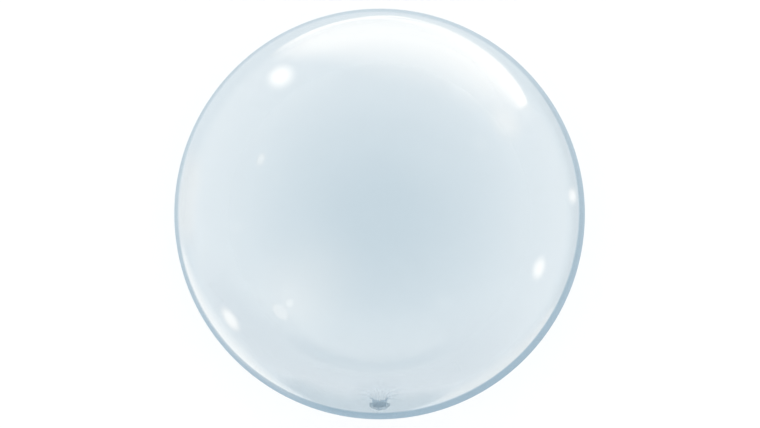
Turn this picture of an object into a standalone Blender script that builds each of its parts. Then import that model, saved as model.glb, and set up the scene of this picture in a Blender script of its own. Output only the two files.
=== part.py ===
"""Clear film balloon, blown up and lying on its flat spot, with its gathered neck and filling valve.

Metres, +Z up. The origin is the centre of the flat spot, on the surface that the balloon lies on.
The neck points out of the ball towards -Y and a little down, and the limp valve hangs from it.
"""

import math

import bmesh
import bpy
from mathutils import Matrix, Vector

# The film ball
BALL_RADIUS = 0.280
FLAT_SPOT_RADIUS = 0.045
RING_ANGLE = math.radians(5.0)

# The neck: the round mouth that the film is gathered into
NECK_DIP = math.radians(23.5)
NECK_RADIUS = 0.0095
NECK_LENGTH = 0.003
THROAT_RADIUS = 0.012
THROAT_STEPS = 5

# The pleats of gathered film round the neck
PLEAT_COUNT = 12
PLEAT_STEPS = 8
PLEAT_DEPTH = 0.0009
PLEAT_REACH = 0.060
PLEAT_RINGS = 7

# The filling valve: a film tube that comes flat out of the neck and bends down
VALVE_THICKNESS = 0.0012
VALVE_MOUTH_HEIGHT = 0.0150
VALVE_BEND_RADIUS = 0.008
VALVE_FLATTENING = 0.020
VALVE_HANGING_RUN = 0.062
VALVE_CORNER_RADIUS = 0.004
VALVE_SECTION_GAP = 0.003
VALVE_CORNER_STEPS = 4
VALVE_EDGE_STEPS = 6
VALVE_FACE_STEPS = 5

# The clearance between the valve and the neck
JOIN_GAP = 0.0003

# The finishes
BALL_COLOUR = (0.72, 0.82, 0.88, 1.0)
BALL_ROUGHNESS = 0.05
VALVE_COLOUR = (0.80, 0.87, 0.92, 1.0)
VALVE_ROUGHNESS = 0.12

# How the meshes are made
MERGE_DISTANCE = 1e-6
CUT_SNAP = 0.0004
SHARP_ANGLE = math.radians(30.0)

# A round neck pressed flat keeps its girth, so the valve's width follows from the neck.
VALVE_WIDTH = math.pi * NECK_RADIUS

QUARTER_TURN = math.pi / 2.0
CENTRE_HEIGHT = math.sqrt(BALL_RADIUS**2 - FLAT_SPOT_RADIUS**2)
NECK_DIRECTION = Vector((0.0, -math.cos(NECK_DIP), -math.sin(NECK_DIP)))
THROAT_REACH = NECK_RADIUS + THROAT_RADIUS
THROAT_DROP = math.sqrt((BALL_RADIUS + THROAT_RADIUS) ** 2 - THROAT_REACH**2)
THROAT_ANGLE = math.asin(THROAT_REACH / (BALL_RADIUS + THROAT_RADIUS))
PLEAT_ANGLE = PLEAT_REACH / BALL_RADIUS
NECK_END = THROAT_DROP + NECK_LENGTH
VALVE_BEND = VALVE_BEND_RADIUS * (QUARTER_TURN - NECK_DIP)
VALVE_LENGTH = VALVE_BEND + VALVE_HANGING_RUN


def clear_scene() -> None:
    """Remove whatever the scene holds."""
    for obj in list(bpy.data.objects):
        bpy.data.objects.remove(obj)


def film(name: str, colour: tuple, roughness: float) -> bpy.types.Material:
    """Return a plain plastic film material."""
    material = bpy.data.materials.new(name)
    material.use_nodes = True
    shader = material.node_tree.nodes["Principled BSDF"]
    shader.inputs["Base Color"].default_value = colour
    shader.inputs["Roughness"].default_value = roughness
    shader.inputs["Metallic"].default_value = 0.0
    return material


def fade(share: float) -> float:
    """Ease from 1 at share 0 to 0 at share 1."""
    share = min(max(share, 0.0), 1.0)
    return 1.0 - share * share * (3.0 - 2.0 * share)


def ball_profile() -> list:
    """Return (distance from the neck's axis, height) from the far pole to the neck's end."""
    plain_end = math.pi - max(PLEAT_ANGLE, THROAT_ANGLE)
    plain_rings = math.ceil(plain_end / RING_ANGLE)
    pleated = math.pi - THROAT_ANGLE - plain_end
    angles = [plain_end * i / plain_rings for i in range(plain_rings + 1)]
    angles += [plain_end + pleated * (i + 1) / PLEAT_RINGS for i in range(PLEAT_RINGS)]
    points = [(BALL_RADIUS * math.sin(angle), BALL_RADIUS * math.cos(angle)) for angle in angles]
    for i in range(1, THROAT_STEPS + 1):
        turn = THROAT_ANGLE + (QUARTER_TURN - THROAT_ANGLE) * i / THROAT_STEPS
        reach = THROAT_REACH - THROAT_RADIUS * math.sin(turn)
        points.append((reach, THROAT_RADIUS * math.cos(turn) - THROAT_DROP))
    points.append((NECK_RADIUS, -NECK_END))
    return points


def pleat_offset(point: Vector) -> float:
    """Return how far the gathered film stands out of its smooth shape at a point round the neck."""
    reach = math.hypot(point.x, point.y)
    strength = fade((reach - NECK_RADIUS) / (PLEAT_REACH - NECK_RADIUS))
    return PLEAT_DEPTH * strength * math.cos(PLEAT_COUNT * math.atan2(point.y, point.x))


def spin_ball(mesh: bmesh.types.BMesh) -> None:
    """Spin the profile round the neck's axis, which is the Z axis here."""
    corners = [mesh.verts.new((reach, 0.0, height)) for reach, height in ball_profile()]
    edges = [mesh.edges.new(pair) for pair in zip(corners, corners[1:])]
    bmesh.ops.spin(
        mesh,
        geom=corners + edges,
        cent=(0.0, 0.0, 0.0),
        axis=(0.0, 0.0, 1.0),
        angle=2.0 * math.pi,
        steps=PLEAT_COUNT * PLEAT_STEPS,
        use_merge=True,
    )
    bmesh.ops.remove_doubles(mesh, verts=mesh.verts, dist=MERGE_DISTANCE)
    bmesh.ops.recalc_face_normals(mesh, faces=mesh.faces)
    mesh.normal_update()


def gather_pleats(mesh: bmesh.types.BMesh) -> None:
    """Push the film round the neck in and out along its own normals."""
    moves = [
        (vert, vert.normal * pleat_offset(vert.co))
        for vert in mesh.verts
        if vert.co.z < 0.0 and math.hypot(vert.co.x, vert.co.y) < PLEAT_REACH
    ]
    for vert, move in moves:
        vert.co += move


def close_rim(mesh: bmesh.types.BMesh) -> None:
    """Close the one open rim of the mesh with a face."""
    rim = [edge for edge in mesh.edges if edge.is_boundary]
    bmesh.ops.contextual_create(mesh, geom=rim)


def press_flat_spot(mesh: bmesh.types.BMesh) -> None:
    """Cut the placed ball flat at the surface that it lies on, and close the cut."""
    bmesh.ops.bisect_plane(
        mesh,
        geom=list(mesh.verts) + list(mesh.edges) + list(mesh.faces),
        dist=CUT_SNAP,
        plane_co=(0.0, 0.0, 0.0),
        plane_no=(0.0, 0.0, -1.0),
        clear_outer=True,
        use_snap_center=True,
    )
    for vert in mesh.verts:
        if vert.is_boundary:
            outward = Vector((vert.co.x, vert.co.y, 0.0)).normalized()
            vert.co = outward * FLAT_SPOT_RADIUS
    close_rim(mesh)


def add_object(name: str, mesh: bmesh.types.BMesh, material: bpy.types.Material) -> None:
    """Turn a bmesh into a named, smooth-shaded object."""
    bmesh.ops.recalc_face_normals(mesh, faces=mesh.faces)
    data = bpy.data.meshes.new(name)
    mesh.to_mesh(data)
    mesh.free()
    data.materials.append(material)
    data.shade_smooth()
    data.set_sharp_from_angle(angle=SHARP_ANGLE)
    bpy.context.scene.collection.objects.link(bpy.data.objects.new(name, data))


def add_film_ball() -> None:
    """Build the blown ball of film with its throat, pleats, neck and flat spot."""
    mesh = bmesh.new()
    spin_ball(mesh)
    gather_pleats(mesh)
    close_rim(mesh)
    lean = Matrix.Rotation(NECK_DIP - QUARTER_TURN, 4, "X")
    stand = Matrix.Translation((0.0, 0.0, CENTRE_HEIGHT)) @ lean
    bmesh.ops.transform(mesh, matrix=stand, verts=mesh.verts)
    press_flat_spot(mesh)
    add_object("film_ball", mesh, film("clear_film", BALL_COLOUR, BALL_ROUGHNESS))


def valve_place(along: float) -> tuple:
    """Return the middle of the valve and its slope below level, at a length along it."""
    slope = NECK_DIP + min(along, VALVE_BEND) / VALVE_BEND_RADIUS
    middle = Vector((0.0, 0.0, CENTRE_HEIGHT)) + NECK_DIRECTION * (NECK_END + JOIN_GAP)
    middle.y -= VALVE_BEND_RADIUS * (math.sin(slope) - math.sin(NECK_DIP))
    middle.z -= VALVE_BEND_RADIUS * (math.cos(NECK_DIP) - math.cos(slope))
    middle.z -= max(along - VALVE_BEND, 0.0)
    return middle, slope


def valve_section(along: float) -> list:
    """Return the valve's outline across its length: a slot shape with the neck's girth all the way."""
    half_height = VALVE_THICKNESS / 2.0
    half_height += (VALVE_MOUTH_HEIGHT - VALVE_THICKNESS) / 2.0 * fade(along / VALVE_FLATTENING)
    half_width = VALVE_WIDTH / 2.0 - (QUARTER_TURN - 1.0) * half_height
    into_corner = max(along - (VALVE_LENGTH - VALVE_CORNER_RADIUS), 0.0)
    half_width -= VALVE_CORNER_RADIUS - math.sqrt(VALVE_CORNER_RADIUS**2 - into_corner**2)
    straight = half_width - half_height
    points = []
    for side in (1.0, -1.0):
        for i in range(VALVE_EDGE_STEPS + 1):
            turn = math.pi * i / VALVE_EDGE_STEPS - QUARTER_TURN
            across = straight + half_height * math.cos(turn)
            points.append((side * across, side * half_height * math.sin(turn)))
        for i in range(1, VALVE_FACE_STEPS):
            across = straight * (1.0 - 2.0 * i / VALVE_FACE_STEPS)
            points.append((side * across, side * half_height))
    middle, slope = valve_place(along)
    over = Vector((0.0, -math.sin(slope), math.cos(slope)))
    return [middle + Vector((across, 0.0, 0.0)) + over * height for across, height in points]


def valve_stations() -> list:
    """Return the lengths along the valve where its outline is placed."""
    square_end = VALVE_LENGTH - VALVE_CORNER_RADIUS
    count = math.ceil(square_end / VALVE_SECTION_GAP)
    stations = [square_end * i / count for i in range(count + 1)]
    for i in range(1, VALVE_CORNER_STEPS + 1):
        turn = QUARTER_TURN * i / (VALVE_CORNER_STEPS + 1)
        stations.append(square_end + VALVE_CORNER_RADIUS * math.sin(turn))
    return stations


def add_filling_valve() -> None:
    """Loft the valve from its round end at the neck to the flat strip that hangs from it."""
    mesh = bmesh.new()
    stations = valve_stations()
    ring = [mesh.verts.new(point) for point in valve_section(stations[0])]
    edges = [mesh.edges.new((ring[i - 1], ring[i])) for i in range(len(ring))]
    bmesh.ops.contextual_create(mesh, geom=edges)
    for station in stations[1:]:
        grown = bmesh.ops.extrude_edge_only(mesh, edges=edges)["geom"]
        edges = [item for item in grown if isinstance(item, bmesh.types.BMEdge) and item.is_boundary]
        fresh = [item for item in grown if isinstance(item, bmesh.types.BMVert)]
        for vert, point in zip(fresh, valve_section(station)):
            vert.co = point
    bmesh.ops.contextual_create(mesh, geom=edges)
    add_object("filling_valve", mesh, film("valve_film", VALVE_COLOUR, VALVE_ROUGHNESS))


def main() -> None:
    """Build the balloon."""
    clear_scene()
    add_film_ball()
    add_filling_valve()


main()
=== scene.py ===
"""Dresses the clear film balloon and sets it on a white floor, seen from straight above."""

import logging
import math
from abc import ABC, abstractmethod
from dataclasses import dataclass
from enum import Enum
from typing import Any, NamedTuple, Union

import bmesh
import bpy
from mathutils import Matrix, Vector


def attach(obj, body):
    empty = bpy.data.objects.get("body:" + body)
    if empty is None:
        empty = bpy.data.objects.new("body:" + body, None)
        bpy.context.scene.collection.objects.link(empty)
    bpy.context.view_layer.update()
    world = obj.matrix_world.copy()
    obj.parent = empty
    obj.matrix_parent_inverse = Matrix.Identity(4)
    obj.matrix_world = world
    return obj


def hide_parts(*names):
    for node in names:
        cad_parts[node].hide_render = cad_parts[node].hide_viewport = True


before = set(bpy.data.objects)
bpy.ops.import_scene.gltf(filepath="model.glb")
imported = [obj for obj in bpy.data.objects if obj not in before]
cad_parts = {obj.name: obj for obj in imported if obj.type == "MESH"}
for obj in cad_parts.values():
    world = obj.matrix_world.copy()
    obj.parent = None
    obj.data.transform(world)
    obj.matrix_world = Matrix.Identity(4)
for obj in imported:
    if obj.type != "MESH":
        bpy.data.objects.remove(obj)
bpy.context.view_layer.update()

log = logging.getLogger("balloon")

Colour = tuple[float, float, float]
Direction = tuple[float, float, float]
Value = Union["Sock", float]

IMAGE_WIDTH = 760
IMAGE_HEIGHT = 428
QUARTER_TURN = math.pi / 2.0
FULL_TURN = 2.0 * math.pi
MERGE_DISTANCE = 1e-6
NOISE_MIDDLE = 0.5
WHITE: Colour = (1.0, 1.0, 1.0)


def fade(share: float) -> float:
    """Ease from 1 at share 0 to 0 at share 1."""
    share = min(max(share, 0.0), 1.0)
    return 1.0 - share * share * (3.0 - 2.0 * share)


# Shader maths

class Sock:
    """A shader value that takes part in Python expressions."""

    def __init__(self, graph: "Graph", socket: bpy.types.NodeSocket) -> None:
        """Wrap a socket of the graph's node tree."""
        self.graph = graph
        self.socket = socket

    def _math(self, operation: str, *values: Value) -> "Sock":
        """Add a Math node on these values."""
        return self.graph.add("ShaderNodeMath", {"operation": operation}, dict(enumerate(values)))

    def __add__(self, other: Value) -> "Sock":
        """self + other."""
        return self._math("ADD", self, other)

    def __sub__(self, other: Value) -> "Sock":
        """self - other."""
        return self._math("SUBTRACT", self, other)

    def __rsub__(self, other: Value) -> "Sock":
        """other - self."""
        return self._math("SUBTRACT", other, self)

    def __mul__(self, other: Value) -> "Sock":
        """self * other."""
        return self._math("MULTIPLY", self, other)

    def __truediv__(self, other: Value) -> "Sock":
        """self / other."""
        return self._math("DIVIDE", self, other)

    def __pow__(self, other: Value) -> "Sock":
        """self to the power other."""
        return self._math("POWER", self, other)

    def __abs__(self) -> "Sock":
        """The size of the value without its sign."""
        return self._math("ABSOLUTE", self)

    def sine(self) -> "Sock":
        """The sine of the value, which is in radians."""
        return self._math("SINE", self)

    def clamped(self) -> "Sock":
        """The value held between 0 and 1."""
        return self.graph.add("ShaderNodeClamp", {}, {"Value": self})

    def step(self, softness: float) -> "Sock":
        """A rise from 0 to 1 as the value passes 0, softness wide."""
        return (self / softness + 0.5).clamped()


class Graph:
    """The node tree of one material."""

    def __init__(self, name: str) -> None:
        """Make an empty node material.

        Args:
            name: the material's name.
        """
        self.material = bpy.data.materials.new(name)
        self.material.use_nodes = True
        self.tree = self.material.node_tree
        self.tree.nodes.clear()

    def node(self, kind: str, settings: dict[str, Any], inputs: dict[Any, Any]) -> bpy.types.Node:
        """Make a node, set it up and fill its sockets.

        Args:
            kind: the node's type.
            settings: attributes that are set before the sockets.
            inputs: socket name or index to a plain value or a Sock.

        Returns:
            The node.
        """
        node = self.tree.nodes.new(kind)
        for name, value in settings.items():
            setattr(node, name, value)
        for name, value in inputs.items():
            if isinstance(value, Sock):
                self.tree.links.new(value.socket, node.inputs[name])
            else:
                node.inputs[name].default_value = value
        return node

    def add(self, kind: str, settings: dict[str, Any], inputs: dict[Any, Any],
            output: str | int = 0) -> Sock:
        """Make a node as node does, and give one of its outputs.

        Args:
            kind: the node's type.
            settings: attributes that are set before the sockets.
            inputs: socket name or index to a plain value or a Sock.
            output: the name or index of the output that is wanted.

        Returns:
            The wanted output.
        """
        return Sock(self, self.node(kind, settings, inputs).outputs[output])

    def vector(self, operation: str, *values: Any, output: str = "Vector") -> Sock:
        """Add a Vector Math node on these values, and give its Vector or its Value."""
        settings = {"operation": operation}
        return self.add("ShaderNodeVectorMath", settings, dict(enumerate(values)), output)

    def place(self) -> Sock:
        """The object coordinates, in metres."""
        return self.add("ShaderNodeTexCoord", {}, {}, "Object")

    def facing(self) -> Sock:
        """1 minus the cosine to the eye: 0 where the surface faces it, 1 where it is on edge."""
        return self.add("ShaderNodeLayerWeight", {}, {"Blend": 0.5}, "Facing")

    def attribute(self, name: str) -> Sock:
        """The value that the mesh holds under this name."""
        return self.add("ShaderNodeAttribute", {"attribute_name": name}, {}, "Fac")

    def noise(self, place: Sock, scale: float, detail: float, roughness: float = 0.5) -> Sock:
        """A noise from 0 to 1 at a place, with this scale, detail and roughness."""
        inputs = {"Vector": place, "Scale": scale, "Detail": detail, "Roughness": roughness}
        return self.add("ShaderNodeTexNoise", {}, inputs)

    def bump(self, height: Sock) -> Sock:
        """The normal of a surface that is raised by a height in metres."""
        return self.add("ShaderNodeBump", {}, {"Height": height, "Strength": 1.0, "Distance": 1.0})

    def clear(self, colour: Colour) -> Sock:
        """A see-through surface that tints what is behind it."""
        return self.add("ShaderNodeBsdfTransparent", {}, {"Color": (*colour, 1.0)})

    def milk(self, colour: Colour, roughness: float, normal: Sock) -> Sock:
        """A cloudy surface that nothing is seen through."""
        inputs = {"Base Color": (*colour, 1.0), "Roughness": roughness, "Normal": normal}
        return self.add("ShaderNodeBsdfPrincipled", {}, inputs)

    def gloss(self, roughness: Value, normal: Sock) -> Sock:
        """A colourless mirroring surface."""
        inputs = {"Color": (*WHITE, 1.0), "Roughness": roughness, "Normal": normal}
        return self.add("ShaderNodeBsdfGlossy", {}, inputs)

    def mix(self, share: Sock, first: Sock, second: Sock) -> Sock:
        """The first surface where share is 0, the second where it is 1, and a mix between."""
        return self.add("ShaderNodeMixShader", {}, {0: share, 1: first, 2: second})

    def finish(self, surface: Sock) -> bpy.types.Material:
        """Join the surface to the material's output, and give the material."""
        self.node("ShaderNodeOutputMaterial", {}, {"Surface": surface})
        return self.material


# The neck, which the ball, the valve and the film's finish all follow

@dataclass(frozen=True)
class Neck:
    """Where the gathered neck stands, and its sizes."""

    ball_radius: float = 0.280
    flat_spot_radius: float = 0.045
    dip: float = math.radians(23.5)
    radius: float = 0.0095
    length: float = 0.003
    throat_radius: float = 0.012
    pleat_count: int = 12
    pleat_depth: float = 0.0009
    pleat_reach: float = 0.060

    @property
    def centre(self) -> Vector:
        """The middle of the ball."""
        return Vector((0.0, 0.0, math.sqrt(self.ball_radius**2 - self.flat_spot_radius**2)))

    @property
    def direction(self) -> Vector:
        """The way the neck points."""
        return Vector((0.0, -math.cos(self.dip), -math.sin(self.dip)))

    @property
    def throat_reach(self) -> float:
        """How far the middle of the throat's round is from the neck's axis."""
        return self.radius + self.throat_radius

    @property
    def throat_drop(self) -> float:
        """How far the middle of the throat's round is from the ball's middle, along the axis."""
        return math.sqrt((self.ball_radius + self.throat_radius) ** 2 - self.throat_reach**2)

    @property
    def end(self) -> float:
        """How far the neck's end is from the ball's middle."""
        return self.throat_drop + self.length

    @property
    def stand(self) -> Matrix:
        """The transform from a neck along -Z under a ball at the origin to its real place."""
        return Matrix.Translation(self.centre) @ Matrix.Rotation(self.dip - QUARTER_TURN, 4, "X")


# Finishes

@dataclass(frozen=True)
class ClearFilm:
    """Clear, faintly blue film: see-through, glossy, and darker where it is seen on edge, with painted
    shade that widens and darkens the rim towards one side.

    Round the neck it is a little milky, with fine creases that run out from it. Heights are in
    metres. The widths of the rim and the shade are shares of the ball's radius, and how soft they
    are is given as a squared cosine to the eye.
    """

    neck: Neck
    tint: Colour = (0.853, 0.895, 0.918)
    # The rim's darker tint is partly the film's own tint seen on edge, and partly painted shade.
    rim_tint: Colour = (0.588, 0.686, 0.753)
    rim_width: float = 0.0222
    # Painted shade: widens the rim towards one side of the ball.
    painted_rim_widening: Direction = (0.0052, -0.0084, 0.0)
    rim_softness: float = 0.016
    rim_depth: float = 0.71
    # Painted shade: darkens the rim further towards one side of the ball.
    painted_rim_darkening: Direction = (0.08, -0.29, 0.0)
    shade_depth: float = 0.12
    shade_width: float = 0.07
    shade_softness: float = 0.08
    gloss_face_on: float = 0.06
    gloss_rise: float = 0.115
    gloss_start: float = 0.12
    gloss_end: float = 0.49
    inner_gloss: float = 0.25
    rim_gloss_loss: float = 0.75
    roughness: float = 0.03
    smear_scale: float = 14.0
    smear_detail: float = 3.0
    smear_roughness: float = 0.02
    ripple_scale: float = 9.0
    ripple_detail: float = 1.0
    ripple_height: float = 0.00015
    crease_scale: float = 7.0
    crease_detail: float = 3.0
    crease_roughness: float = 0.55
    crease_change: float = 8.0
    crease_height: float = 0.0012
    haze: Colour = (0.62, 0.72, 0.79)
    haze_share: float = 0.30
    haze_roughness: float = 0.35
    haze_closeness: float = 3.0
    haze_between_creases: float = 0.25
    haze_on_creases: float = 1.6

    def rim(self, graph: Graph, facing: Sock, back: Sock) -> Sock:
        """Work out how far the film is seen on edge.

        Args:
            graph: the material's nodes.
            facing: 0 where the film faces the eye, 1 where it is on edge.
            back: 1 where the film is seen from inside the balloon, 0 from outside.

        Returns:
            1 in the rim and 0 inside it, with a faint soft shade along its inner edge. The rim is wider
            and darker towards one side of the ball, as the two leans set: this is painted shade.
        """
        normal = graph.add("ShaderNodeNewGeometry", {}, {}, "Normal")
        outward = 1.0 - back * 2.0
        # The painted shade: how much wider and darker the rim is on this side.
        width, depth = (outward * graph.vector("DOT_PRODUCT", normal, lean, output="Value")
                        for lean in (self.painted_rim_widening, self.painted_rim_darkening))
        # Near the outline, the squared cosine is twice the share of the radius left to go.
        cosine = 1.0 - facing
        squared = cosine * cosine
        band = ((width + self.rim_width) * 2.0 - squared).step(self.rim_softness)
        shade = (self.shade_width * 2.0 - squared).step(self.shade_softness)
        return band * (depth + self.rim_depth) + (1.0 - band) * shade * self.shade_depth

    def creases(self, graph: Graph, place: Sock) -> Sock:
        """Make fine creases that run out from the neck.

        Args:
            graph: the material's nodes.
            place: the object coordinates.

        Returns:
            A height from 0 to 1.
        """
        pitch = QUARTER_TURN - self.neck.dip
        origin = Matrix.Rotation(pitch, 3, "X") @ -self.neck.centre
        local = graph.add("ShaderNodeMapping", {}, {"Vector": place, "Location": origin,
                                                    "Rotation": (pitch, 0.0, 0.0)})
        across = graph.vector("MULTIPLY", local, (1.0, 1.0, 0.0))
        spoke = graph.vector("NORMALIZE", across)
        reach = graph.vector("LENGTH", across, output="Value")
        change = graph.add("ShaderNodeCombineXYZ", {}, {"Z": reach * self.crease_change})
        spot = graph.vector("ADD", spoke, change)
        return graph.noise(spot, self.crease_scale, self.crease_detail, self.crease_roughness)

    def build(self) -> bpy.types.Material:
        """Make the material.

        Returns:
            The material.
        """
        graph = Graph("clear_film")
        place = graph.place()
        facing = graph.facing()
        back = graph.add("ShaderNodeNewGeometry", {}, {}, "Backfacing")
        rim = self.rim(graph, facing, back)
        gather = graph.attribute("gather")
        crease = self.creases(graph, place) * gather * gather
        ripple = graph.noise(place, self.ripple_scale, self.ripple_detail)
        normal = graph.bump(ripple * self.ripple_height + crease * self.crease_height)

        body = graph.mix(rim, graph.clear(self.tint), graph.clear(self.rim_tint))
        cloud = crease * self.haze_on_creases + self.haze_between_creases
        milky = (gather ** self.haze_closeness * cloud).clamped() * self.haze_share
        body = graph.mix(milky, body, graph.milk(self.haze, self.haze_roughness, normal))

        smear = graph.noise(place, self.smear_scale, self.smear_detail) * self.smear_roughness
        shine = graph.gloss(smear + (self.roughness - self.smear_roughness / 2.0), normal)
        rise = ((facing - self.gloss_start) / (self.gloss_end - self.gloss_start)).clamped()
        share = rise * self.gloss_rise + self.gloss_face_on
        share = share * (1.0 - rim * self.rim_gloss_loss) * (1.0 - back * (1.0 - self.inner_gloss))
        return graph.finish(graph.mix(share, body, shine))


@dataclass(frozen=True)
class PlyFilm:
    """Two plies of film laid together: see-through, a little milky, and knurled along the welds."""

    tint: Colour = (0.938, 0.958, 0.970)
    haze: Colour = (0.64, 0.74, 0.81)
    haze_roughness: float = 0.4
    haze_share: float = 0.09
    weld_haze: float = 0.22
    crinkle_haze: float = 0.20
    edge_haze: float = 0.45
    gloss_face_on: float = 0.10
    gloss_on_edge: float = 0.30
    gloss_closeness: float = 3.0
    roughness: float = 0.10
    crinkle_scale: float = 95.0
    crinkle_stretch: Direction = (1.0, 1.0, 0.30)
    crinkle_detail: float = 2.0
    crinkle_fineness: float = 5.0
    crinkle_height: float = 0.0016
    knurl_pitch: float = 0.0013
    knurl_height: float = 0.00022

    def crinkle(self, graph: Graph, place: Sock) -> Sock:
        """Make the crinkles that run along the valve.

        Args:
            graph: the material's nodes.
            place: the object coordinates.

        Returns:
            1 along the middle of a crinkle, and 0 away from it.
        """
        stretched = graph.add("ShaderNodeMapping", {}, {"Vector": place, "Scale": self.crinkle_stretch})
        noise = graph.noise(stretched, self.crinkle_scale, self.crinkle_detail)
        return (1.0 - abs(noise - NOISE_MIDDLE) * self.crinkle_fineness).clamped() ** 2.0

    def knurl(self, graph: Graph, place: Sock) -> Sock:
        """Make the pattern that is pressed into the welds.

        Args:
            graph: the material's nodes.
            place: the object coordinates.

        Returns:
            The sum of two sets of waves that cross each other.
        """
        turn = FULL_TURN / self.knurl_pitch
        rising, falling = (graph.vector("DOT_PRODUCT", place, way, output="Value").sine()
                           for way in ((turn, 0.0, turn), (turn, 0.0, -turn)))
        return falling + rising

    def build(self) -> bpy.types.Material:
        """Make the material.

        Returns:
            The material.
        """
        graph = Graph("valve_film")
        place = graph.place()
        facing = graph.facing()
        weld = graph.attribute("weld")
        crinkle = self.crinkle(graph, place) * (1.0 - weld)
        knurl = self.knurl(graph, place) * weld
        normal = graph.bump(crinkle * self.crinkle_height + knurl * self.knurl_height)

        milky = crinkle * self.crinkle_haze + weld * self.weld_haze
        milky = milky + facing * facing * self.edge_haze + self.haze_share
        milk = graph.milk(self.haze, self.haze_roughness, normal)
        body = graph.mix(milky, graph.clear(self.tint), milk)

        shine = graph.gloss(self.roughness, normal)
        share = facing ** self.gloss_closeness * self.gloss_on_edge + self.gloss_face_on
        return graph.finish(graph.mix(share, body, shine))


@dataclass(frozen=True)
class CardLight:
    """The light of a card, which is clear where its glow is 0."""

    name: str
    strength: float
    colour: Colour

    def build(self) -> bpy.types.Material:
        """Make the material, which lights nothing and only shows in the gloss.

        Returns:
            The material.
        """
        graph = Graph(self.name)
        light = graph.add("ShaderNodeEmission", {}, {"Strength": self.strength,
                                                     "Color": (*self.colour, 1.0)})
        card = graph.finish(graph.mix(graph.attribute("glow"), graph.clear(WHITE), light))
        card.cycles.emission_sampling = "NONE"
        return card


@dataclass(frozen=True)
class WhiteFloor:
    """The plain white floor."""

    colour: Colour = (0.98, 0.98, 0.98)
    roughness: float = 0.9

    def build(self) -> bpy.types.Material:
        """Make the material.

        Returns:
            The material.
        """
        graph = Graph("white_floor")
        surface = graph.add("ShaderNodeBsdfPrincipled", {}, {"Base Color": (*self.colour, 1.0),
                                                             "Roughness": self.roughness})
        return graph.finish(surface)


def add_piece(name: str, mesh: bmesh.types.BMesh, material: bpy.types.Material) -> bpy.types.Object:
    """Turn a bmesh into a smooth-shaded object of the scene.

    Args:
        name: the object's name.
        mesh: its shape, which is freed.
        material: its only material.

    Returns:
        The object.
    """
    data = bpy.data.meshes.new(name)
    mesh.to_mesh(data)
    mesh.free()
    data.materials.append(material)
    data.shade_smooth()
    obj = bpy.data.objects.new(name, data)
    bpy.context.scene.collection.objects.link(obj)
    return obj


# The balloon

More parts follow.
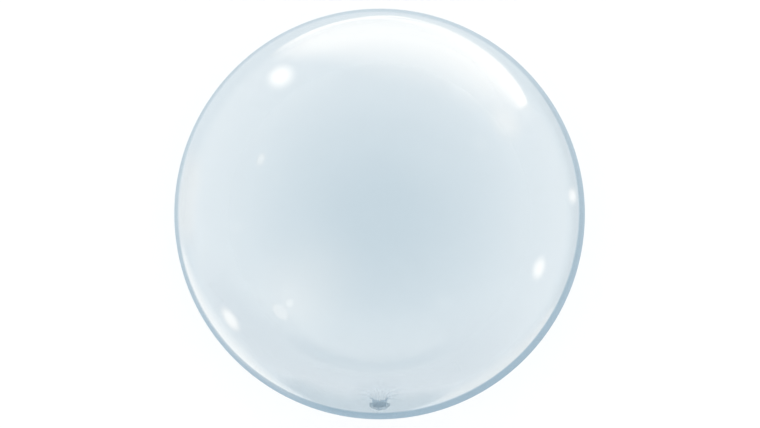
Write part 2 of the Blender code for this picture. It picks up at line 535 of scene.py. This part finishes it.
@dataclass
class FilmBall:
    """The blown skin of film with its pleated neck and the spot that it lies on."""

    neck: Neck
    ring_angle: float = math.radians(1.5)
    pleat_rings: int = 34
    throat_steps: int = 12
    steps_per_pleat: int = 32
    contact_softness: float = 0.0015
    fold_sharpness: float = 0.35
    fold_unevenness: float = 0.30
    slow_share: float = 0.6
    slow_waves: float = 3.0
    slow_start: float = 0.7
    quick_share: float = 0.4
    quick_waves: float = 5.0
    fine_folds: int = 41
    fine_fold_depth: float = 0.00022
    fine_fold_reach: float = 0.034
    fine_fold_wander: float = 2.0
    gather_reach: float = 0.095

    def profile(self) -> list[tuple[float, float]]:
        """Work out half of the ball's section, from the pole away from the neck to the neck's end.

        Returns:
            Each point's distance from the neck's axis and its height, with the neck downwards.
        """
        neck = self.neck
        throat_angle = math.asin(neck.throat_reach / (neck.ball_radius + neck.throat_radius))
        plain_end = math.pi - neck.pleat_reach / neck.ball_radius
        plain_rings = math.ceil(plain_end / self.ring_angle)
        pleated = math.pi - throat_angle - plain_end
        angles = [plain_end * i / plain_rings for i in range(plain_rings + 1)]
        angles += [plain_end + pleated * (i + 1) / self.pleat_rings for i in range(self.pleat_rings)]
        points = [(neck.ball_radius * math.sin(a), neck.ball_radius * math.cos(a)) for a in angles]
        for i in range(1, self.throat_steps + 1):
            turn = throat_angle + (QUARTER_TURN - throat_angle) * i / self.throat_steps
            reach = neck.throat_reach - neck.throat_radius * math.sin(turn)
            points.append((reach, neck.throat_radius * math.cos(turn) - neck.throat_drop))
        points.append((neck.radius, -neck.end))
        return points

    def pucker(self, point: Vector) -> float:
        """Work out how far the gathered film stands out of its smooth shape.

        Args:
            point: a spot on the smooth shape, with the neck along -Z.

        Returns:
            The height of the pleats and the fine folds there.
        """
        neck = self.neck
        reach = math.hypot(point.x, point.y)
        turn = math.atan2(point.y, point.x)
        strength = fade((reach - neck.radius) / (neck.pleat_reach - neck.radius))
        slow = self.slow_share * math.sin(self.slow_waves * turn + self.slow_start)
        quick = self.quick_share * math.sin(self.quick_waves * turn)
        uneven = 1.0 + self.fold_unevenness * (slow + quick)
        fold = math.cos(neck.pleat_count * turn)
        fold += self.fold_sharpness * math.cos(2 * neck.pleat_count * turn)
        pleat = neck.pleat_depth * strength * uneven * fold / (1.0 + self.fold_sharpness)
        fine = fade((reach - neck.radius) / (self.fine_fold_reach - neck.radius))
        wander = self.fine_fold_wander * math.sin(turn)
        return pleat + self.fine_fold_depth * fine * math.sin(self.fine_folds * turn + wander)

    def turn_skin(self, mesh: bmesh.types.BMesh) -> None:
        """Turn the smooth skin round the neck's axis.

        Args:
            mesh: an empty bmesh, which gets the skin, open at the neck's end.
        """
        corners = [mesh.verts.new((reach, 0.0, height)) for reach, height in self.profile()]
        edges = [mesh.edges.new(pair) for pair in zip(corners, corners[1:])]
        steps = self.neck.pleat_count * self.steps_per_pleat
        bmesh.ops.spin(mesh, geom=corners + edges, cent=(0.0, 0.0, 0.0), axis=(0.0, 0.0, 1.0),
                       angle=FULL_TURN, steps=steps, use_merge=True)
        bmesh.ops.remove_doubles(mesh, verts=mesh.verts, dist=MERGE_DISTANCE)
        bmesh.ops.recalc_face_normals(mesh, faces=mesh.faces)
        mesh.normal_update()

    def gather_film(self, mesh: bmesh.types.BMesh) -> None:
        """Pleat the skin round the neck, close the neck, and mark how near to it the film is.

        Args:
            mesh: the smooth skin.
        """
        moves = [(vert, vert.normal * self.pucker(vert.co)) for vert in mesh.verts
                 if vert.co.z < 0.0 and math.hypot(vert.co.x, vert.co.y) < self.neck.pleat_reach]
        for vert, move in moves:
            vert.co += move
        rim = [edge for edge in mesh.edges if edge.is_boundary]
        bmesh.ops.contextual_create(mesh, geom=rim)
        gather = mesh.verts.layers.float.new("gather")
        for vert in mesh.verts:
            reach = math.hypot(vert.co.x, vert.co.y) if vert.co.z < 0.0 else self.gather_reach
            vert[gather] = fade((reach - self.neck.radius) / (self.gather_reach - self.neck.radius))

    def set_down(self, mesh: bmesh.types.BMesh) -> None:
        """Put the ball in its place, and press what would be under the floor flat onto it.

        Args:
            mesh: the pleated skin.
        """
        bmesh.ops.transform(mesh, matrix=self.neck.stand, verts=mesh.verts)
        for vert in mesh.verts:
            height = vert.co.z
            vert.co.z = (height + math.hypot(height, self.contact_softness)) / 2.0
        bmesh.ops.recalc_face_normals(mesh, faces=mesh.faces)

    def build(self) -> bpy.types.Object:
        """Make the ball.

        Returns:
            The ball's object.
        """
        mesh = bmesh.new()
        self.turn_skin(mesh)
        self.gather_film(mesh)
        self.set_down(mesh)
        piece = add_piece("film_skin", mesh, ClearFilm(self.neck).build())
        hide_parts("film_ball")
        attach(piece, "root")
        return piece


class Face(Enum):
    """The two faces of the valve's sleeve."""

    OUTSIDE = "outside"
    INSIDE = "inside"


@dataclass
class FillingValve:
    """The limp two-ply valve that hangs from the neck: a flat sleeve, welded along both sides."""

    neck: Neck
    thickness: float = 0.0012
    mouth_height: float = 0.0150
    bend_radius: float = 0.008
    flattening: float = 0.020
    hanging_run: float = 0.062
    corner_radius: float = 0.004
    corner_steps: int = 9
    wall: float = 0.00018
    weld_width: float = 0.0026
    weld_thickness: float = 0.0006
    weld_step: float = 0.0006
    opening: float = 0.0024
    opening_run: float = 0.014
    seal_depth: float = 0.014
    sway: float = 0.0011
    sway_length: float = 0.042
    sway_skew: float = 0.5
    curl: float = 0.0010
    curl_rate: float = 0.6
    crease_depth: float = 0.00055
    crease_count: float = 7.0
    crease_start: float = 1.0
    crease_run: float = 0.030
    fine_crease_share: float = 0.5
    fine_crease_ratio: float = 1.7
    section_gap: float = 0.0010
    points_across: int = 56

    @property
    def bend(self) -> float:
        """The length of the bend."""
        return self.bend_radius * (QUARTER_TURN - self.neck.dip)

    @property
    def length(self) -> float:
        """The whole length along the middle."""
        return self.bend + self.hanging_run

    def place(self, along: float) -> tuple[Vector, float]:
        """Follow the valve out of the neck, round its bend and down.

        Args:
            along: the length along the valve.

        Returns:
            The middle of the valve there, and its slope below level.
        """
        dip = self.neck.dip
        slope = dip + min(along, self.bend) / self.bend_radius
        middle = self.neck.centre + self.neck.direction * self.neck.end
        middle.y -= self.bend_radius * (math.sin(slope) - math.sin(dip))
        middle.z -= self.bend_radius * (math.cos(dip) - math.cos(slope))
        middle.z -= max(along - self.bend, 0.0)
        return middle, slope

    def half_width(self, along: float) -> float:
        """Work out how wide the sleeve lies when it keeps the neck's girth.

        Args:
            along: the length along the valve.

        Returns:
            Half of the valve's width there, with its rounded lower corners.
        """
        half_height = self.thickness / 2.0
        half_height += (self.mouth_height - self.thickness) / 2.0 * fade(along / self.flattening)
        width = math.pi * self.neck.radius / 2.0 - (QUARTER_TURN - 1.0) * half_height
        into_corner = max(along - (self.length - self.corner_radius), 0.0)
        return width - self.corner_radius + math.sqrt(self.corner_radius**2 - into_corner**2)

    def swell(self, across: float, along: float) -> float:
        """Work out how far a ply lies from the middle of the valve.

        Args:
            across: the distance from the middle line.
            along: the length along the valve.

        Returns:
            The distance: round at the neck, then a flat channel between two welds, parted at the end.
        """
        half_width = self.half_width(along)
        share = min(abs(across) / half_width, 1.0)
        round_part = fade(along / self.flattening)
        oval = self.mouth_height / 2.0 * math.sqrt(1.0 - share * share)
        to_edge = half_width - abs(across)
        channel = fade(1.0 - (to_edge - self.weld_width) / self.weld_step)
        edge = math.sqrt(min(to_edge / self.weld_thickness, 1.0))
        flat = (self.weld_thickness + (self.thickness - self.weld_thickness) * channel) / 2.0 * edge
        inside = min(abs(across) / (half_width - self.weld_width), 1.0)
        parted = self.opening / 2.0 * fade((self.length - along) / self.opening_run)
        return oval * round_part + (flat + parted * (1.0 - inside * inside)) * (1.0 - round_part)

    def drift(self, across: float, along: float) -> float:
        """Work out how far both plies together stand off the valve's plain middle.

        Args:
            across: the distance from the middle line.
            along: the length along the valve.

        Returns:
            The distance: the sway and curl where the valve hangs, and the creases at its bend.
        """
        ease = 1.0 - fade((along - self.bend) / self.flattening)
        share = across / self.half_width(along)
        turn = FULL_TURN * (along - self.bend) / self.sway_length
        crease = fade(abs(along - self.bend) / self.crease_run) * (1.0 - fade(along / self.bend))
        fine = self.fine_crease_share * math.sin(self.fine_crease_ratio * self.crease_count * share)
        waves = math.cos(self.crease_count * share + self.crease_start) + fine
        return (self.sway * ease * math.sin(turn + self.sway_skew * share)
                + self.curl * ease * share * share * math.cos(self.curl_rate * turn)
                + self.crease_depth * crease * waves)

    def section(self, along: float, face: Face) -> list[Vector]:
        """Work out the sleeve's outline across its length.

        Args:
            along: the length along the valve.
            face: the face that is wanted. The inside ends at the welds.

        Returns:
            The points of one closed ring.
        """
        reach = self.half_width(along)
        if face is Face.INSIDE:
            reach -= self.weld_width
        middle, slope = self.place(along)
        over = Vector((0.0, -math.sin(slope), math.cos(slope)))
        points = []
        for side in (1.0, -1.0):
            for i in range(self.points_across):
                across = side * reach * math.cos(math.pi * i / self.points_across)
                height = self.swell(across, along)
                if face is Face.INSIDE:
                    height = max(height - self.wall, self.wall / 2.0) if i else 0.0
                height = side * height + self.drift(across, along)
                points.append(middle + Vector((across, 0.0, 0.0)) + over * height)
        return points

    def stations(self) -> list[tuple[float, Face]]:
        """List the rings of the sleeve, down its outside and back up its inside.

        Returns:
            Each ring's length along the valve, and its face.
        """
        square_end = self.length - self.corner_radius
        count = math.ceil(square_end / self.section_gap)
        outer = [square_end * i / count for i in range(count + 1)]
        for i in range(1, self.corner_steps):
            into_corner = math.sin(QUARTER_TURN * i / self.corner_steps)
            outer.append(square_end + self.corner_radius * into_corner)
        inner = [along for along in reversed(outer) if along > self.seal_depth]
        return [(along, Face.OUTSIDE) for along in outer] + [(along, Face.INSIDE) for along in inner]

    def welded(self, across: float, along: float) -> float:
        """Give the share from 0 to 1 that a spot belongs to a weld."""
        to_edge = self.half_width(along) - abs(across)
        return (1.0 - fade(along / self.flattening)) * fade((to_edge - self.weld_width) / self.weld_step)

    def build(self) -> bpy.types.Object:
        """Make the valve by drawing one ring along all its stations.

        Returns:
            The valve's object.
        """
        mesh = bmesh.new()
        weld = mesh.verts.layers.float.new("weld")
        stations = self.stations()
        ring = [mesh.verts.new(point) for point in self.section(*stations[0])]
        edges = [mesh.edges.new((ring[i - 1], ring[i])) for i in range(len(ring))]
        bmesh.ops.contextual_create(mesh, geom=edges)
        for along, face in stations[1:]:
            grown = bmesh.ops.extrude_edge_only(mesh, edges=edges)["geom"]
            edges = [item for item in grown
                     if isinstance(item, bmesh.types.BMEdge) and item.is_boundary]
            fresh = [item for item in grown if isinstance(item, bmesh.types.BMVert)]
            for vert, point in zip(fresh, self.section(along, face)):
                vert.co = point
                vert[weld] = self.welded(point.x, along)
        bmesh.ops.contextual_create(mesh, geom=edges)
        bmesh.ops.recalc_face_normals(mesh, faces=mesh.faces)
        piece = add_piece("valve_strip", mesh, PlyFilm().build())
        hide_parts("filling_valve")
        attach(piece, "root")
        return piece


# The studio

@dataclass
class View:
    """The camera straight above the ball."""

    neck: Neck
    distance: float = 3.0
    ball_pixel_radius: float = 205.3
    ball_pixel_x: float = 379.6
    ball_pixel_y: float = 214.0
    sensor: float = 36.0

    @property
    def focal_pixels(self) -> float:
        """The focal length in pixels that gives the ball its size in the picture."""
        outline = math.asin(self.neck.ball_radius / self.distance)
        return self.ball_pixel_radius / math.tan(outline)

    @property
    def eye(self) -> Vector:
        """Where the camera stands, off the ball's axis by what the ball is off the picture's middle.

        Returns:
            The point.
        """
        metres = self.distance / self.focal_pixels
        off_x = (IMAGE_WIDTH / 2.0 - self.ball_pixel_x) * metres
        off_y = (self.ball_pixel_y - IMAGE_HEIGHT / 2.0) * metres
        return self.neck.centre + Vector((off_x, off_y, self.distance))

    def build(self) -> bpy.types.Object:
        """Make the camera, and make it the scene's.

        Returns:
            The camera.
        """
        data = bpy.data.cameras.new("camera")
        data.sensor_width = self.sensor
        data.lens = self.focal_pixels * self.sensor / IMAGE_WIDTH
        camera = bpy.data.objects.new("camera", data)
        camera.location = self.eye
        bpy.context.scene.collection.objects.link(camera)
        bpy.context.scene.camera = camera
        return camera

    def reflected(self, x: float, y: float) -> tuple[Vector, Vector]:
        """Follow the ray through a pixel to the ball and off it.

        Args:
            x: pixels from the left.
            y: pixels from the top.

        Returns:
            The point on the ball, and the direction in which the ray leaves it.
        """
        ray = Vector((x - IMAGE_WIDTH / 2.0, IMAGE_HEIGHT / 2.0 - y, -self.focal_pixels)).normalized()
        away = self.eye - self.neck.centre
        along = ray.dot(away)
        inside = along * along - (away.dot(away) - self.neck.ball_radius**2)
        point = self.eye + ray * (-along - math.sqrt(max(inside, 0.0)))
        return point, ray.reflect((point - self.neck.centre).normalized())


@dataclass
class MirroredCard(ABC):
    """A soft card round the balloon that shows only where the film mirrors it.

    It is laid out by the pixels that mirror it, as the camera sees them, and stands on a ring
    round the balloon. Its strength is that of its light, beside surroundings of about 1.
    """

    name: str
    strength: float
    colour: Colour = (1.0, 0.88, 0.78)
    ring: float = 0.55
    lowest: float = 0.01
    columns: int = 24
    rows: int = 24

    @abstractmethod
    def pixel(self, view: View, across: float, down: float) -> tuple[float, float]:
        """Give the pixel that mirrors a spot of the card, with both shares from -1 to 1."""

    @abstractmethod
    def glow(self, across: float, down: float) -> float:
        """Give how solid the card is at a spot, from 0 to 1."""

    def spot(self, view: View, x: float, y: float) -> Vector:
        """Work out where the card has to be for a pixel to mirror it.

        Args:
            view: the camera.
            x: pixels from the left.
            y: pixels from the top.

        Returns:
            The point where the reflected ray meets the ring round the balloon, or the floor before it.
        """
        start, way = view.reflected(x, y)
        flat = way.x * way.x + way.y * way.y
        half = start.x * way.x + start.y * way.y
        rest = start.x * start.x + start.y * start.y - self.ring * self.ring
        reach = (-half + math.sqrt(half * half - flat * rest)) / flat
        if way.z < 0.0:
            reach = min(reach, (self.lowest - start.z) / way.z)
        return start + way * reach

    def build(self, view: View) -> bpy.types.Object:
        """Make the card, which the camera and the light of the room pass through.

        Args:
            view: the camera.

        Returns:
            The card's object.
        """
        mesh = bmesh.new()
        layer = mesh.verts.layers.float.new("glow")
        bmesh.ops.create_grid(mesh, x_segments=self.columns, y_segments=self.rows, size=1.0)
        for vert in mesh.verts:
            across, down = vert.co.x, vert.co.y
            vert[layer] = self.glow(across, down)
            vert.co = self.spot(view, *self.pixel(view, across, down))
        finish = CardLight(self.name, self.strength, self.colour)
        card = add_piece(self.name, mesh, finish.build())
        card.visible_camera = False
        card.visible_diffuse = False
        card.visible_transmission = False
        card.visible_shadow = False
        return card


@dataclass
class OvalCard(MirroredCard):
    """A card that the film mirrors as a soft oval, with its sizes in pixels."""

    x: float = 0.0
    y: float = 0.0
    width: float = 20.0
    height: float = 20.0
    turn: float = 0.0
    softness: float = 0.35

    def pixel(self, view: View, across: float, down: float) -> tuple[float, float]:
        """Turn the oval and put it in its place.

        Args:
            view: the camera.
            across: the share of half the width, from -1 to 1.
            down: the share of half the height, from -1 to 1.

        Returns:
            The pixel that mirrors the spot.
        """
        side, over = across * self.width / 2.0, down * self.height / 2.0
        cos, sin = math.cos(self.turn), math.sin(self.turn)
        return self.x + side * cos + over * sin, self.y + side * sin - over * cos

    def glow(self, across: float, down: float) -> float:
        """Fade the oval out towards its edge."""
        return fade((math.hypot(across, down) - 1.0 + self.softness) / self.softness)


class Stop(NamedTuple):
    """A place along an arc beside the ball's outline.

    The angle is in degrees, anticlockwise from the picture's right. The outer and inner edge of
    the arc there are shares of the ball's radius.
    """

    angle: float
    outer: float
    inner: float


@dataclass
class ArcCard(MirroredCard):
    """A card that the film mirrors as an arc, solid outside and fading towards its inner edge."""

    stops: tuple[Stop, ...] = ()
    outer_softness: float = 0.06
    inner_softness: float = 0.5
    end_softness: float = 0.08
    columns: int = 96

    def pixel(self, view: View, across: float, down: float) -> tuple[float, float]:
        """Follow the arc's stops.

        Args:
            view: the camera.
            across: the place along the arc, from -1 at its first stop to 1 at its last.
            down: the place across it, from -1 at its inner edge to 1 at its outer one.

        Returns:
            The pixel that mirrors the spot.
        """
        place = (across + 1.0) / 2.0 * (len(self.stops) - 1)
        first = min(int(place), len(self.stops) - 2)
        share = place - first
        angle, outer, inner = (a + (b - a) * share for a, b in
                               zip(self.stops[first], self.stops[first + 1]))
        reach = (inner + (outer - inner) * (down + 1.0) / 2.0) * view.ball_pixel_radius
        turn = math.radians(angle)
        return view.ball_pixel_x + reach * math.cos(turn), view.ball_pixel_y - reach * math.sin(turn)

    def glow(self, across: float, down: float) -> float:
        """Fade the arc out towards its edges and ends.

        Args:
            across: the place along the arc, from -1 to 1.
            down: the place across it, from -1 at its inner edge to 1 at its outer one.

        Returns:
            How solid the card is there, from 0 to 1.
        """
        from_outer = (1.0 - down) / 2.0
        outside = 1.0 - fade(from_outer / self.outer_softness)
        inside = fade((from_outer - 1.0 + self.inner_softness) / self.inner_softness)
        ends = 1.0 - fade((1.0 - abs(across)) / self.end_softness)
        return outside * inside * ends


@dataclass
class Studio:
    """The floor, the white surroundings and the cards that the film mirrors.

    The glints are small lamps, and the ghosts their faint doubles. The strips are long soft
    lights. The flags are darker than the surroundings, and give the greyer bands.
    """

    view: View
    floor_size: float = 80.0
    floor_drop: float = 0.0005
    sky: float = 1.10
    glints: tuple[OvalCard, ...] = (
        OvalCard("left_glint", 3.1, x=281.0, y=77.0, width=38.0, height=30.0, turn=-0.5,
                 softness=0.9),
        OvalCard("right_glint", 2.7, x=538.8, y=268.2, width=17.0, height=33.0, turn=0.28,
                 softness=0.85),
        OvalCard("low_glint", 2.05, x=230.4, y=319.3, width=15.0, height=36.5, turn=-0.60,
                 softness=0.7),
        OvalCard("edge_glint", 2.4, x=572.9, y=195.8, width=13.0, height=24.0, turn=-0.1,
                 softness=0.9),
    )
    ghosts: tuple[OvalCard, ...] = (
        OvalCard("low_ghost", 1.95, x=280.7, y=311.6, width=14.5, height=25.0, turn=-0.75,
                 softness=0.45),
        OvalCard("small_ghost", 2.2, x=289.9, y=302.9, width=12.0, height=13.0, softness=0.6),
        OvalCard("left_ghost", 2.15, x=261.0, y=159.2, width=12.0, height=20.0, turn=0.4,
                 softness=0.75),
        OvalCard("upper_ghost", 1.78, x=505.0, y=122.0, width=38.0, height=60.0, turn=-0.6,
                 softness=0.95),
        OvalCard("low_glow", 1.85, ring=0.575, x=308.0, y=281.0, width=150.0, height=130.0,
                 turn=-0.75, softness=1.0),
    )
    strips: tuple[ArcCard, ...] = (
        ArcCard("top_box", 2.25, outer_softness=0.10, inner_softness=0.72, end_softness=0.55, stops=(
            Stop(127.0, 0.943, 0.92), Stop(123.0, 0.947, 0.87), Stop(118.0, 0.953, 0.81),
            Stop(111.0, 0.957, 0.76), Stop(103.0, 0.963, 0.69), Stop(95.0, 0.971, 0.63),
            Stop(86.0, 0.979, 0.59), Stop(77.0, 0.980, 0.57), Stop(68.0, 0.976, 0.57),
            Stop(59.0, 0.967, 0.58), Stop(50.0, 0.954, 0.61), Stop(42.0, 0.935, 0.66),
            Stop(35.0, 0.910, 0.69), Stop(28.0, 0.88, 0.73))),
        ArcCard("top_box_core", 2.7, ring=0.54, lowest=0.014,
                inner_softness=0.7, end_softness=0.22, stops=(
            Stop(126.0, 0.943, 0.92), Stop(115.0, 0.951, 0.92), Stop(104.0, 0.959, 0.93),
            Stop(95.0, 0.965, 0.935), Stop(86.0, 0.970, 0.93), Stop(70.0, 0.962, 0.895),
            Stop(57.0, 0.950, 0.87), Stop(51.0, 0.943, 0.845), Stop(46.0, 0.935, 0.82),
            Stop(42.0, 0.926, 0.81), Stop(39.0, 0.915, 0.815), Stop(37.2, 0.905, 0.825),
            Stop(35.8, 0.890, 0.84))),
        ArcCard("low_left_strip", 2.3,
                outer_softness=0.03, inner_softness=0.95, end_softness=0.25, stops=(
            Stop(184.0, 0.985, 0.965), Stop(195.0, 0.985, 0.945), Stop(205.0, 0.985, 0.925),
            Stop(215.0, 0.985, 0.91), Stop(225.0, 0.988, 0.905), Stop(234.0, 0.988, 0.925),
            Stop(242.0, 0.988, 0.95), Stop(250.0, 0.988, 0.968))),
        ArcCard("left_strip", 1.35, ring=0.56,
                outer_softness=0.15, inner_softness=0.7, end_softness=0.6, stops=(
            Stop(158.0, 0.985, 0.90), Stop(170.0, 0.985, 0.85), Stop(182.0, 0.985, 0.87),
            Stop(192.0, 0.985, 0.90))),
        ArcCard("low_right_strip", 1.45, inner_softness=0.9, end_softness=0.3, stops=(
            Stop(285.0, 0.962, 0.94), Stop(295.0, 0.966, 0.91), Stop(310.0, 0.968, 0.90),
            Stop(325.0, 0.970, 0.92), Stop(335.0, 0.968, 0.94))),
    )
    flags: tuple[ArcCard, ...] = (
        ArcCard("right_flag", 0.72, (1.0, 0.98, 0.97), ring=0.56,
                outer_softness=0.02, inner_softness=0.6, end_softness=0.4, stops=(
            Stop(-36.0, 0.985, 0.925), Stop(-15.0, 0.990, 0.925), Stop(5.0, 0.993, 0.92),
            Stop(25.0, 0.990, 0.93), Stop(46.0, 0.985, 0.95))),
        ArcCard("low_shade", 0.70, (0.95, 0.95, 1.0), ring=0.56,
                outer_softness=0.22, inner_softness=0.6, end_softness=0.5, stops=(
            Stop(185.0, 0.930, 0.80), Stop(205.0, 0.935, 0.75), Stop(230.0, 0.965, 0.60),
            Stop(255.0, 0.975, 0.50), Stop(285.0, 0.975, 0.50), Stop(310.0, 0.970, 0.55),
            Stop(335.0, 0.970, 0.60))),
        ArcCard("low_inner_flag", 0.48, (0.75, 0.87, 1.0), ring=0.555, lowest=0.012,
                outer_softness=0.35, inner_softness=0.6, end_softness=0.65, stops=(
            Stop(228.0, 0.77, 0.72), Stop(240.0, 0.785, 0.68), Stop(255.0, 0.79, 0.66),
            Stop(272.0, 0.785, 0.66), Stop(290.0, 0.775, 0.67), Stop(305.0, 0.76, 0.71))),
        ArcCard("low_outer_flag", 0.34, (0.62, 0.82, 1.0), ring=0.555, lowest=0.012,
                outer_softness=0.15, inner_softness=0.5, end_softness=0.4, stops=(
            Stop(236.0, 0.945, 0.92), Stop(246.0, 0.965, 0.87), Stop(255.0, 0.992, 0.86),
            Stop(272.0, 0.992, 0.86), Stop(283.0, 0.962, 0.87), Stop(294.0, 0.940, 0.90))),
    )

    def build_floor(self) -> None:
        """Make the floor, just under the balloon."""
        mesh = bmesh.new()
        bmesh.ops.create_grid(mesh, x_segments=1, y_segments=1, size=self.floor_size / 2.0)
        bmesh.ops.translate(mesh, vec=(0.0, 0.0, -self.floor_drop), verts=mesh.verts)
        add_piece("floor", mesh, WhiteFloor().build())

    def build_surroundings(self) -> None:
        """Make the white light from all round."""
        world = bpy.data.worlds.new("surroundings")
        world.use_nodes = True
        background = world.node_tree.nodes["Background"]
        background.inputs["Color"].default_value = (*WHITE, 1.0)
        background.inputs["Strength"].default_value = self.sky
        bpy.context.scene.world = world
        bpy.context.scene.view_settings.view_transform = "Standard"

    def build(self) -> list[bpy.types.Object]:
        """Make the floor, the surroundings and the cards.

        Returns:
            The cards' objects.
        """
        self.build_floor()
        self.build_surroundings()
        cards = (*self.glints, *self.ghosts, *self.strips, *self.flags)
        return [card.build(self.view) for card in cards]


def main() -> None:
    """Build the studio and the balloon."""
    logging.basicConfig(level=logging.INFO, format="%(name)s: %(message)s")
    neck = Neck()
    view = View(neck)
    view.build()
    for card in Studio(view).build():
        log.info("%s: a card that the film mirrors", card.name)
    for part in (FilmBall(neck), FillingValve(neck)):
        piece = part.build()
        log.info("%s: %d faces", piece.name, len(piece.data.polygons))


if __name__ == "__main__":
    main()
